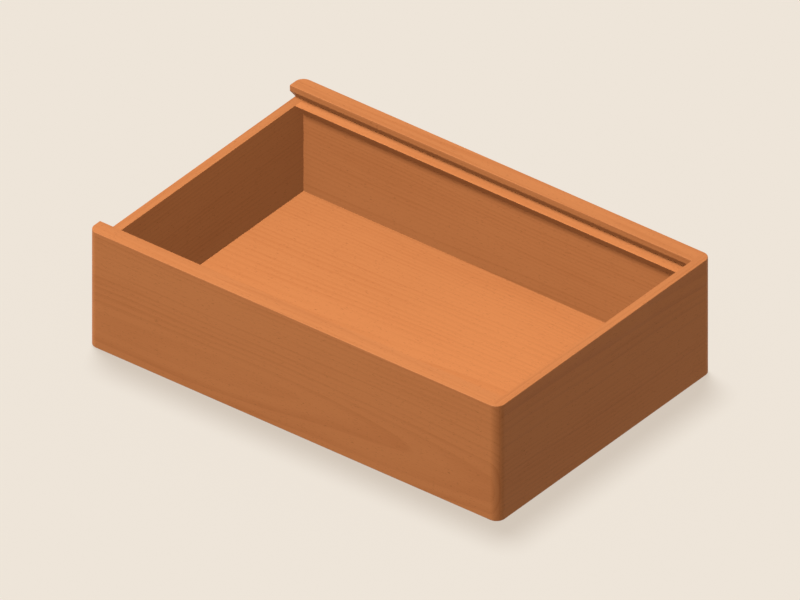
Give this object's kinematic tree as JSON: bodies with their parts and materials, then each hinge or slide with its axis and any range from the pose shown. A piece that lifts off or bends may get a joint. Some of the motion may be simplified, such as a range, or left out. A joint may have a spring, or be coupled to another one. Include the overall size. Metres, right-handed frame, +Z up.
{
  "type": "sliding-lid box body",
  "caption": "Open wooden box with undercut lips over sloping ledges along its long sides, one low end and one full-height end, made to take a sliding lid. The lid is not included.",
  "frame": {"origin": "centre of the underside, on the surface that the box stands on", "axes": "+X along the box towards the full-height stop end, +Y towards the back side, +Z up"},
  "size_m": [0.3, 0.2, 0.08],
  "materials": {
    "board_wood": "satin",
    "panel_wood": "satin",
    "rail_wood": "satin"
  },
  "bodies": {
    "root": {"front_side": "board_wood", "back_side": "board_wood", "entry_end": "board_wood", "stop_end": "board_wood", "bottom_panel": "panel_wood", "front_lid_lip": "rail_wood", "back_lid_lip": "rail_wood", "front_lid_ledge": "rail_wood", "back_lid_ledge": "rail_wood"}
  },
  "joints": []
}
